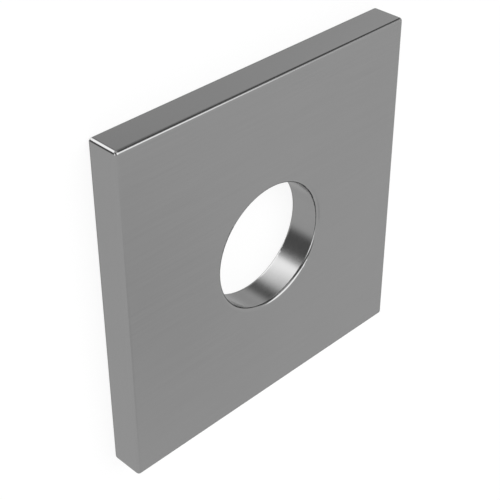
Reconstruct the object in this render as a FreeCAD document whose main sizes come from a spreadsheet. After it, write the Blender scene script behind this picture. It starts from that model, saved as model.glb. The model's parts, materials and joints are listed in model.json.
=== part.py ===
# Square plate washer: one flat square of steel plate with a round bolt hole in the middle.
# Millimetres, +Z up. The washer lies on its back face at Z = 0, the origin is on the bore's axis
# there, and the front face, which the nut or bolt head bears on, looks up at Z = thickness.

import FreeCAD
import Part
import Sketcher
import os

OUT = "parts"

# How a sketch counts the points of a line or a circle, and its own origin
START, END, CENTRE = range(1, 4)
ORIGIN = -1

# Name, value in millimetres, what it is
SIZES = [
    ("side", 30.0, "width of the square, both ways"),
    ("thickness", 3.0, "thickness of the plate"),
    ("bore", 11.0, "diameter of the bolt hole, for a 10 mm bolt"),
    ("edge_round", 0.3, "radius that deburring leaves on every edge, the hole's two mouths too"),
]


def add_sizes(doc):
    """The driving dimensions, one row each: its name, its value and what it is."""
    sheet = doc.addObject("Spreadsheet::Sheet", "Sizes")
    for row, (alias, value, note) in enumerate(SIZES, start=1):
        sheet.set(f"A{row}", alias)
        sheet.set(f"B{row}", str(value))
        sheet.set(f"C{row}", note)
        sheet.setAlias(f"B{row}", alias)
    doc.recompute()
    return sheet


def origin_plane(body, role):
    for feature in body.Origin.OriginFeatures:
        if feature.Role == role:
            return feature
    raise ValueError(f"{body.Label} has no origin plane {role}")


def add_sketch(body, name):
    """An empty sketch on the body's own XY plane."""
    sketch = body.newObject("Sketcher::SketchObject", name)
    sketch.AttachmentSupport = [(origin_plane(body, "XY_Plane"), "")]
    sketch.MapMode = "FlatFace"
    return sketch


def bind(sketch, constraint, expression, name):
    """Adds a dimension to the sketch, names it and ties it to the sheet."""
    index = sketch.addConstraint(constraint)
    sketch.renameConstraint(index, name)
    sketch.setExpression(f"Constraints.{name}", expression)


def draw_square(sketch, half):
    """A square centred on the sketch's origin, which follows Sizes.side."""
    corners = [(-half, -half), (half, -half), (half, half), (-half, half)]
    points = [FreeCAD.Vector(x, y, 0) for x, y in corners]
    for start, end in zip(points, points[1:] + points[:1]):
        sketch.addGeometry(Part.LineSegment(start, end))
    bottom, right, top, left = range(4)
    for line, after in ((bottom, right), (right, top), (top, left), (left, bottom)):
        sketch.addConstraint(Sketcher.Constraint("Coincident", line, END, after, START))
    sketch.addConstraint(Sketcher.Constraint("Horizontal", bottom))
    sketch.addConstraint(Sketcher.Constraint("Horizontal", top))
    sketch.addConstraint(Sketcher.Constraint("Vertical", right))
    sketch.addConstraint(Sketcher.Constraint("Vertical", left))
    sketch.addConstraint(
        Sketcher.Constraint("Symmetric", bottom, START, top, START, ORIGIN, START)
    )
    sketch.addConstraint(Sketcher.Constraint("Equal", bottom, right))
    width = Sketcher.Constraint("DistanceX", bottom, START, bottom, END, 2 * half)
    bind(sketch, width, "Sizes.side", "width")


def draw_circle(sketch, radius):
    """A circle on the sketch's origin, which follows Sizes.bore."""
    circle = Part.Circle(FreeCAD.Vector(0, 0, 0), FreeCAD.Vector(0, 0, 1), radius)
    mouth = sketch.addGeometry(circle)
    sketch.addConstraint(Sketcher.Constraint("Coincident", mouth, CENTRE, ORIGIN, START))
    bind(sketch, Sketcher.Constraint("Diameter", mouth, 2 * radius), "Sizes.bore", "across")


def add_plate(body, sheet):
    """The plate, as cut from flat bar, with sharp edges."""
    outline = add_sketch(body, "PlateOutline")
    draw_square(outline, sheet.side / 2)
    plate = body.newObject("PartDesign::Pad", "Plate")
    plate.Profile = outline
    plate.setExpression("Length", "Sizes.thickness")
    outline.Visibility = False
    return plate


def add_bore(body, sheet):
    """The bolt hole, punched right through from the front face."""
    mouth = add_sketch(body, "BoreMouth")
    mouth.setExpression("AttachmentOffset.Base.z", "Sizes.thickness")
    draw_circle(mouth, sheet.bore / 2)
    bore = body.newObject("PartDesign::Pocket", "Bore")
    bore.Profile = mouth
    bore.Type = "ThroughAll"
    mouth.Visibility = False
    return bore


def sharp_edges(shape):
    """Names of all the edges but the bore's seam, which has the same face on both sides."""
    return [
        f"Edge{number}"
        for number, edge in enumerate(shape.Edges, start=1)
        if not any(edge.isSeam(face) for face in shape.Faces)
    ]


def add_edge_round(body, plate):
    """One fillet over the twelve outer edges and the two circles where the bore comes out."""
    fillet = body.newObject("PartDesign::Fillet", "EdgeRound")
    fillet.Base = (plate, sharp_edges(plate.Shape))
    fillet.setExpression("Radius", "Sizes.edge_round")
    return fillet


def make_washer(doc, sheet):
    body = doc.addObject("PartDesign::Body", "SquareWasher")
    body.Label = "square_washer"
    add_plate(body, sheet)
    punched = add_bore(body, sheet)
    doc.recompute()
    add_edge_round(body, punched)
    doc.recompute()
    return body


def check(doc, bodies):
    """Stops with a plain message if anything failed to compute."""
    for thing in doc.Objects:
        if "Invalid" in thing.State or "Error" in thing.State:
            raise RuntimeError(f"{thing.Label} failed: {thing.State}")
    for body in bodies:
        shape = body.Shape
        if shape.isNull() or not shape.isValid() or len(shape.Solids) != 1:
            raise RuntimeError(f"{body.Label} is not one valid solid")


def export(bodies):
    os.makedirs(OUT, exist_ok=True)
    for body in bodies:
        body.Shape.exportStep(os.path.join(OUT, f"{body.Label}.step"))
        box = body.Shape.BoundBox
        print(
            f"{body.Label}: {box.XLength:.2f} x {box.YLength:.2f} x {box.ZLength:.2f} mm,"
            f" {body.Shape.Volume:.1f} mm3, {len(body.Shape.Faces)} faces"
        )


doc = FreeCAD.newDocument("SquareWasher")
sizes = add_sizes(doc)
parts = [make_washer(doc, sizes)]
check(doc, parts)
export(parts)
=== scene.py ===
import json
import math

import bmesh
import bpy
from mathutils import Matrix, Vector


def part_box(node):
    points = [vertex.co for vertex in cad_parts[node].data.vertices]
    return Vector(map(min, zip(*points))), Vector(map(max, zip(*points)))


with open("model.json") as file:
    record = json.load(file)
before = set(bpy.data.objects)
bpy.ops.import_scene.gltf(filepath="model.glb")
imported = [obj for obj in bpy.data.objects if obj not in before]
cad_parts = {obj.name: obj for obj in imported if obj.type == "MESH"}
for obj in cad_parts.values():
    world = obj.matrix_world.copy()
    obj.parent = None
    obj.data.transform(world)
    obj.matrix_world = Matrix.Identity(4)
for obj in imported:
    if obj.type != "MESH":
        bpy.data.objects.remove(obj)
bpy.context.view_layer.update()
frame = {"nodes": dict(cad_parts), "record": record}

# Lengths are in metres and angles in degrees, unless a note says otherwise
mm = 0.001

# The washer's sizes, as packed. It lies on its back face at Z = 0, with the bore's axis on Z.
washer = frame["nodes"]["square_washer"]
lowCorner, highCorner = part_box("square_washer")
boltHole = next(m for m in frame["record"]["mounts"] if m["name"] == "bolt_hole")
plate = {
    "half": (highCorner.x - lowCorner.x) / 2,
    "thickness": highCorner.z - lowCorner.z,
    "bore": boltHole["dims"]["r_mm"] * mm,
}
# the plain wall of the bore ends where its two rounded mouths begin
plate["round"] = (plate["thickness"] - boltHole["dims"]["length_mm"] * mm) / 2
print("frame loaded: plate", round(plate["half"] * 2 / mm, 2), "mm across")


# Helpers for node trees

def addNode(tree, kind, **settings):
    node = tree.nodes.new(kind)
    for name, value in settings.items():
        setattr(node, name, value)
    return node


def feed(socket, source):
    if isinstance(source, bpy.types.NodeSocket):
        socket.id_data.links.new(source, socket)
    else:
        socket.default_value = source


def maths(tree, operation, first, second=None):
    node = addNode(tree, "ShaderNodeMath", operation=operation)
    feed(node.inputs[0], first)
    if second is not None:
        feed(node.inputs[1], second)
    return node.outputs[0]


def ease(tree, value, start, end):
    # a soft step from 0 to 1 while value goes from start to end
    node = addNode(tree, "ShaderNodeMapRange", interpolation_type="SMOOTHSTEP")
    feed(node.inputs["Value"], value)
    feed(node.inputs["From Min"], start)
    feed(node.inputs["From Max"], end)
    return node.outputs["Result"]


def startGroup(name, inputs, outputs):
    group = bpy.data.node_groups.new(name, "ShaderNodeTree")
    for label, kind, value in inputs:
        socket = group.interface.new_socket(label, in_out="INPUT", socket_type=kind)
        socket.default_value = value
    for label in outputs:
        group.interface.new_socket(label, in_out="OUTPUT", socket_type="NodeSocketFloat")
    return group, addNode(group, "NodeGroupInput"), addNode(group, "NodeGroupOutput")


def placeGroup(tree, group, **values):
    node = addNode(tree, "ShaderNodeGroup", node_tree=group)
    for name, source in values.items():
        feed(node.inputs[name], source)
    return node


# The steel: plain cold-rolled plate, satin, with a fine grain along X, edges rubbed smooth, and a painted
# highlight that lightens the edges' grey

steel = {
    "grey": 0.27,            # reflectance of the flat faces
    "rim": 0.8,              # how much the steel whitens at a glancing angle, where 1 is the most
    "roughness": 0.2,
    "rubAndHighlightFully": 0.5,      # how far from an edge the rubbing and the painted highlight are full, in radii of the edge
    "rubAndHighlightAtAll": 1.3,      # how far from it the rubbing and the painted highlight end
    "paintedEdgeHighlight": 0.02,    # share by which the edges' grey is painted lighter, a painted highlight
    "edgeSmoother": 0.05,    # how much less rough they are
    "grainWidth": 0.16 * mm,
    "grainLength": 7 * mm,
    "grainDepth": 0.0003 * mm,
    "grainDetail": 3,
    "grainTone": 0.05,       # share by which the grain varies the grey
    "grainRoughness": 0.05,  # how much it varies the roughness
    "cloudSize": 8 * mm,
    "cloudDetail": 2,
    "cloudTone": 0.02,       # share by which the clouds vary the grey
}


def edgeGroup():
    group, given, result = startGroup(
        "rubbed edges and painted highlight",
        [(name.title(), "NodeSocketFloat", size) for name, size in plate.items()],
        ["Edge"],
    )
    place = addNode(group, "ShaderNodeTexCoord").outputs["Object"]
    split = addNode(group, "ShaderNodeSeparateXYZ")
    feed(split.inputs[0], place)
    x, y, z = split.outputs
    half, thickness, bore, edge = given.outputs[:4]

    # how far a point lies inside the planes of the two faces, the four sides and the bore's wall
    middle = maths(group, "DIVIDE", thickness, 2.0)
    fromMiddle = maths(group, "ABSOLUTE", maths(group, "SUBTRACT", z, middle))
    underFace = maths(group, "SUBTRACT", middle, fromMiddle)
    insideX = maths(group, "SUBTRACT", half, maths(group, "ABSOLUTE", x))
    insideY = maths(group, "SUBTRACT", half, maths(group, "ABSOLUTE", y))
    squares = maths(group, "ADD", maths(group, "MULTIPLY", x, x), maths(group, "MULTIPLY", y, y))
    fromAxis = maths(group, "SQRT", squares)
    fromBore = maths(group, "ABSOLUTE", maths(group, "SUBTRACT", fromAxis, bore))
    wall = maths(group, "MINIMUM", maths(group, "MINIMUM", insideX, insideY), fromBore)
    mouth = maths(group, "MAXIMUM", wall, underFace)
    corner = maths(group, "MAXIMUM", insideX, insideY)
    # how far it lies from the nearest edge, in radii of the edge
    nearest = maths(group, "DIVIDE", maths(group, "MINIMUM", mouth, corner), edge)
    # a mask of the edges, for their rubbed smoothness and for their painted highlight
    feed(result.inputs["Edge"], ease(group, nearest, steel["rubAndHighlightAtAll"], steel["rubAndHighlightFully"]))
    return group


def grainGroup():
    group, given, result = startGroup(
        "rolled grain",
        [("Width", "NodeSocketFloat", steel["grainWidth"]),
         ("Length", "NodeSocketFloat", steel["grainLength"]),
         ("Cloud Size", "NodeSocketFloat", steel["cloudSize"])],
        ["Grain", "Clouds"],
    )
    place = addNode(group, "ShaderNodeTexCoord").outputs["Object"]
    across = maths(group, "DIVIDE", 1.0, given.outputs["Width"])
    along = maths(group, "DIVIDE", 1.0, given.outputs["Length"])
    pitch = addNode(group, "ShaderNodeCombineXYZ")
    for socket, source in zip(pitch.inputs, (along, across, across)):
        feed(socket, source)
    stretch = addNode(group, "ShaderNodeVectorMath", operation="MULTIPLY")
    feed(stretch.inputs[0], place)
    feed(stretch.inputs[1], pitch.outputs[0])
    cloudPitch = maths(group, "DIVIDE", 1.0, given.outputs["Cloud Size"])
    for name, source, scale, detail in (
        ("Grain", stretch.outputs[0], 1.0, steel["grainDetail"]),
        ("Clouds", place, cloudPitch, steel["cloudDetail"]),
    ):
        noise = addNode(group, "ShaderNodeTexNoise")
        feed(noise.inputs["Vector"], source)
        feed(noise.inputs["Scale"], scale)
        feed(noise.inputs["Detail"], detail)
        # centred on 0, from about -1 to 1
        centred = maths(group, "SUBTRACT", noise.outputs["Fac"], 0.5)
        feed(result.inputs[name], maths(group, "MULTIPLY", centred, 2.0))
    return group


def steelFinish():
    material = bpy.data.materials.new("plain steel")
    material.use_nodes = True
    tree = material.node_tree
    tree.nodes.clear()
    edge = placeGroup(tree, edgeGroup()).outputs["Edge"]
    rolled = placeGroup(tree, grainGroup())
    grain, clouds = rolled.outputs["Grain"], rolled.outputs["Clouds"]

    tone = maths(tree, "ADD", maths(tree, "MULTIPLY", grain, steel["grainTone"]), 1.0)
    tone = maths(tree, "ADD", tone, maths(tree, "MULTIPLY", clouds, steel["cloudTone"]))
    # painted highlight: the edges' grey is made lighter, so that they shine brighter
    tone = maths(tree, "ADD", tone, maths(tree, "MULTIPLY", edge, steel["paintedEdgeHighlight"]))
    grey = maths(tree, "MULTIPLY", tone, steel["grey"])
    colour = addNode(tree, "ShaderNodeCombineColor")
    for socket in colour.inputs:
        feed(socket, grey)

    rough = maths(tree, "ADD", maths(tree, "MULTIPLY", grain, steel["grainRoughness"]), steel["roughness"])
    rough = maths(tree, "SUBTRACT", rough, maths(tree, "MULTIPLY", edge, steel["edgeSmoother"]))

    bump = addNode(tree, "ShaderNodeBump")
    bump.inputs["Strength"].default_value = 1.0
    bump.inputs["Distance"].default_value = steel["grainDepth"]
    feed(bump.inputs["Height"], grain)

    shader = addNode(tree, "ShaderNodeBsdfPrincipled")
    shader.inputs["Metallic"].default_value = 1.0
    shader.inputs["Specular Tint"].default_value = (steel["rim"], steel["rim"], steel["rim"], 1.0)
    feed(shader.inputs["Base Color"], colour.outputs[0])
    feed(shader.inputs["Roughness"], rough)
    feed(shader.inputs["Normal"], bump.outputs["Normal"])
    output = addNode(tree, "ShaderNodeOutputMaterial")
    feed(output.inputs["Surface"], shader.outputs[0])
    return material


washer.data.materials.clear()
washer.data.materials.append(steelFinish())
print("steel finish on", washer.name)


# The studio: a white surround with soft boxes and dark flags, which the steel reflects. They are drawn
# in the world, each with the width and height that it would have at a distance of 1 m.

studio = {
    "surround": 1.0,         # brightness of the surround in the steel, where 1 is white
    # azimuth from +X towards +Y, elevation, roll, width, height, softness of the edge, brightness
    "cards": {
        "keyBox": (77, 57, 25, 1.2, 0.8, 0.1, 3.0),          # bright line along the face's +Y edge
        "sideFlag": (52, 8, -30, 0.6, 0.85, 0.05, 0.2),      # the dark line beside it
        "cornerFlag": (138, 34, 55, 1.7, 0.6, 0.05, 0.2),    # dark line round the bore's mouth
        "lowBox": (170, 10, -45, 0.7, 0.6, 0.05, 2.2),       # fine bright line on the mouth's +X side
        "lowFlag": (159, -50, -5, 0.7, 1.8, 0.15, 0.2),      # dark band in the bore, on its +X side
        "underBox": (102, -48, 15, 0.9, 0.55, 0.05, 3.2),    # bright band in the bore, bright -X +Y corner
        "underFlag": (60, -37, 40, 0.35, 0.5, 0.15, 0.2),    # dark band in the bore, on its -Y side
        "frontFlag": (-45, -20, 35, 0.8, 0.8, 0.25, 0.2),    # the mouth's dark ends
        "faceShade": (-80, 50, -15, 1.0, 0.15, 0.1, 0.8),    # faint shade across the face
        "nadirBox": (55, -80, 30, 0.9, 0.6, 0.05, 3.0),      # light on the bore's lower mouth
        "floorFlag": (-37, -65, 5, 1.85, 0.3, 0.45, 0.2),    # shade on the +Y side
    },
}


def cardGroup():
    group, given, result = startGroup(
        "studio card",
        [("Level", "NodeSocketFloat", 1.0), ("Turn", "NodeSocketVector", (0, 0, 0)),
         ("Width", "NodeSocketFloat", 1.0), ("Height", "NodeSocketFloat", 1.0),
         ("Softness", "NodeSocketFloat", 0.1), ("Brightness", "NodeSocketFloat", 1.0)],
        ["Level"],
    )
    # turned back, so that the card's middle lies on +X, its width along Y and its height along Z
    turned = addNode(group, "ShaderNodeMapping", vector_type="TEXTURE")
    feed(turned.inputs["Vector"], addNode(group, "ShaderNodeTexCoord").outputs["Generated"])
    feed(turned.inputs["Rotation"], given.outputs["Turn"])
    split = addNode(group, "ShaderNodeSeparateXYZ")
    feed(split.inputs[0], turned.outputs[0])
    ahead, side, up = split.outputs
    # cosine of the angle from its middle at which a card ends, however wide it is
    furthest = 0.05
    distance = maths(group, "MAXIMUM", ahead, furthest)
    shape = maths(group, "GREATER_THAN", ahead, furthest)
    for offset, size in ((side, "Width"), (up, "Height")):
        away = maths(group, "DIVIDE", maths(group, "ABSOLUTE", offset), distance)
        reach = maths(group, "DIVIDE", given.outputs[size], 2.0)
        outer = maths(group, "ADD", reach, given.outputs["Softness"])
        inner = maths(group, "SUBTRACT", reach, given.outputs["Softness"])
        shape = maths(group, "MULTIPLY", shape, ease(group, away, outer, inner))
    change = maths(group, "SUBTRACT", given.outputs["Brightness"], given.outputs["Level"])
    change = maths(group, "MULTIPLY", change, shape)
    feed(result.inputs["Level"], maths(group, "ADD", given.outputs["Level"], change))
    return group


def lightStudio():
    world = bpy.data.worlds.new("studio")
    bpy.context.scene.world = world
    world.use_nodes = True
    tree = world.node_tree
    tree.nodes.clear()
    card = cardGroup()
    level = studio["surround"]
    for name, (azimuth, elevation, roll, width, height, softness, brightness) in studio["cards"].items():
        turn = [math.radians(angle) for angle in (roll, -elevation, azimuth)]
        placed = placeGroup(tree, card, Level=level, Turn=turn, Width=width, Height=height,
                            Softness=softness, Brightness=brightness)
        placed.label = name
        level = placed.outputs["Level"]
    # the camera, and what shows through, sees plain white
    path = addNode(tree, "ShaderNodeLightPath")
    seen = maths(tree, "MAXIMUM", path.outputs["Is Camera Ray"], path.outputs["Is Transmission Ray"])
    mix = addNode(tree, "ShaderNodeMix", data_type="FLOAT")
    feed(mix.inputs["Factor"], seen)
    feed(mix.inputs["A"], level)
    feed(mix.inputs["B"], 1.0)
    background = addNode(tree, "ShaderNodeBackground")
    background.inputs["Color"].default_value = (1.0, 1.0, 1.0, 1.0)
    feed(background.inputs["Strength"], mix.outputs["Result"])
    output = addNode(tree, "ShaderNodeOutputWorld")
    feed(output.inputs["Surface"], background.outputs[0])


lightStudio()
print("studio lit with", len(studio["cards"]), "cards")


# The floor: pale, and lit up to white for the camera, so that only the washer's shadow shows on it

floorLook = {
    "half": 1.0,             # half its width
    "paper": 0.9,            # its reflectance
    "glow": 0.88,            # share of the floor's white that is there without light
}


def layFloor():
    mesh = bpy.data.meshes.new("floor")
    form = bmesh.new()
    bmesh.ops.create_grid(form, x_segments=1, y_segments=1, size=floorLook["half"])
    form.to_mesh(mesh)
    form.free()
    floor = bpy.data.objects.new("floor", mesh)
    bpy.context.scene.collection.objects.link(floor)

    material = bpy.data.materials.new("pale floor")
    material.use_nodes = True
    tree = material.node_tree
    tree.nodes.clear()
    paper = addNode(tree, "ShaderNodeBsdfDiffuse")
    paper.inputs["Color"].default_value = (floorLook["paper"],) * 3 + (1.0,)
    glow = addNode(tree, "ShaderNodeEmission")
    lit = addNode(tree, "ShaderNodeMixShader")
    path = addNode(tree, "ShaderNodeLightPath")
    feed(lit.inputs[0], maths(tree, "MULTIPLY", path.outputs["Is Camera Ray"], floorLook["glow"]))
    feed(lit.inputs[1], paper.outputs[0])
    feed(lit.inputs[2], glow.outputs[0])
    # the steel sees the studio through the floor, as a camera under it does, and is lit from there
    clear = maths(tree, "MAXIMUM", path.outputs["Is Glossy Ray"], path.outputs["Is Transmission Ray"])
    clear = maths(tree, "MAXIMUM", clear, path.outputs["Is Shadow Ray"])
    clear = maths(tree, "MAXIMUM", clear, addNode(tree, "ShaderNodeNewGeometry").outputs["Backfacing"])
    shader = addNode(tree, "ShaderNodeMixShader")
    feed(shader.inputs[0], clear)
    feed(shader.inputs[1], lit.outputs[0])
    feed(shader.inputs[2], addNode(tree, "ShaderNodeBsdfTransparent").outputs[0])
    output = addNode(tree, "ShaderNodeOutputMaterial")
    feed(output.inputs["Surface"], shader.outputs[0])
    mesh.materials.append(material)


layFloor()
print("floor laid")


# The camera looks down on the lying plate from beyond its -X +Y corner, rolled so that +Y is up

cameraLook = {
    "place": Vector((-58.889, 57.380, 59.491)) * mm,
    "forward": Vector((1, -1, -1)).normalized(),
    "up": Vector((0, 1, 0)),
    "lens": 89.71,           # in millimetres, as the sensor's width is
    "sensor": 36,
    "nearest": 1 * mm,       # what is closer than this isn't shown
}


def setCamera():
    data = bpy.data.cameras.new("camera")
    data.sensor_width = cameraLook["sensor"]
    data.lens = cameraLook["lens"]
    data.clip_start = cameraLook["nearest"]
    camera = bpy.data.objects.new("camera", data)
    bpy.context.scene.collection.objects.link(camera)
    back = -cameraLook["forward"]
    right = cameraLook["up"].cross(back).normalized()
    turn = Matrix((right, back.cross(right), back)).transposed().to_4x4()
    camera.matrix_world = Matrix.Translation(cameraLook["place"]) @ turn
    bpy.context.scene.camera = camera


setCamera()
bpy.context.scene.view_settings.view_transform = "Standard"
print("camera set")
